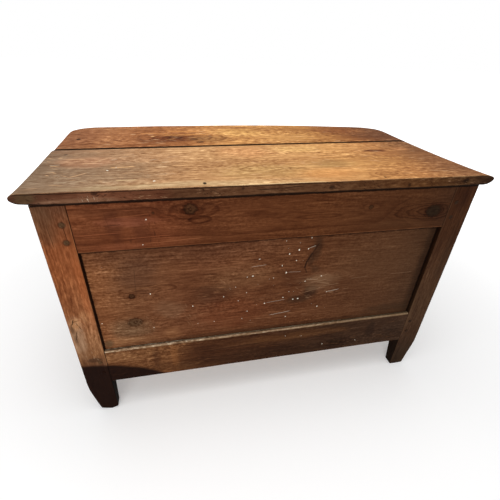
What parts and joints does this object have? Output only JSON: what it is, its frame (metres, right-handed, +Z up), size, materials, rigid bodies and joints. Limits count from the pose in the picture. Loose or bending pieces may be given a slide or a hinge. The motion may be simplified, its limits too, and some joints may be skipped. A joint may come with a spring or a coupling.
{
  "type": "sugar chest",
  "caption": "Framed pine sugar chest on tapered feet, with pegged rails, recessed panels, a boarded floor, a partition and a two-board lid hinged at the back.",
  "frame": {"origin": "on the floor, under the middle of the outline seen from above", "axes": "+X to the right along the chest, +Y from front to back, +Z up"},
  "size_m": [1.112, 0.57, 0.7034],
  "materials": {
    "lid_wood": "worn waxed pine",
    "frame_wood": "worn waxed pine",
    "panel_wood": "worn stained pine",
    "inner_wood": "bare aged pine",
    "peg_wood": "darkened hardwood",
    "iron": "wrought, oxidised"
  },
  "bodies": {
    "case": {"cleat_nails": "iron", "floor_board_1": "inner_wood", "floor_board_2": "inner_wood", "floor_board_3": "inner_wood", "floor_board_4": "inner_wood", "floor_board_5": "inner_wood", "floor_board_6": "inner_wood", "floor_nails": "iron", "front_bottom_rail": "frame_wood", "front_cleat_left": "inner_wood", "front_cleat_right": "inner_wood", "front_ledger": "inner_wood", "front_ledger_nails": "iron", "front_left_post": "frame_wood", "front_panel": "panel_wood", "front_pegs": "peg_wood", "front_right_post": "frame_wood", "front_top_rail": "frame_wood", "hinge_left_pin": "iron", "hinge_left_plate": "iron", "hinge_left_plate_nails": "iron", "hinge_right_pin": "iron", "hinge_right_plate": "iron", "hinge_right_plate_nails": "iron", "left_bottom_rail": "frame_wood", "left_panel": "panel_wood", "left_pegs": "peg_wood", "left_top_rail": "frame_wood", "partition_lower_board": "inner_wood", "partition_upper_board": "inner_wood", "rear_bottom_rail": "frame_wood", "rear_cleat_left": "inner_wood", "rear_cleat_right": "inner_wood", "rear_ledger": "inner_wood", "rear_ledger_nails": "iron", "rear_left_post": "frame_wood", "rear_panel_lower_board": "panel_wood", "rear_panel_upper_board": "panel_wood", "rear_pegs": "peg_wood", "rear_right_post": "frame_wood", "rear_top_rail": "frame_wood", "right_bottom_rail": "frame_wood", "right_panel": "panel_wood", "right_pegs": "peg_wood", "right_top_rail": "frame_wood"},
    "lid": {"batten_nails": "iron", "hinge_left_strap": "iron", "hinge_left_strap_nails": "iron", "hinge_right_strap": "iron", "hinge_right_strap_nails": "iron", "lid_batten_left": "inner_wood", "lid_batten_middle": "inner_wood", "lid_batten_right": "inner_wood", "lid_front_board": "lid_wood", "lid_rear_board": "lid_wood"}
  },
  "joints": [
    {"name": "lid_hinge", "type": "hinge", "parent": "case", "child": "lid", "pos_m": [0, 0.2554, 0.669], "axis": [-1, 0, 0], "range_deg": [0, 105]}
  ]
}
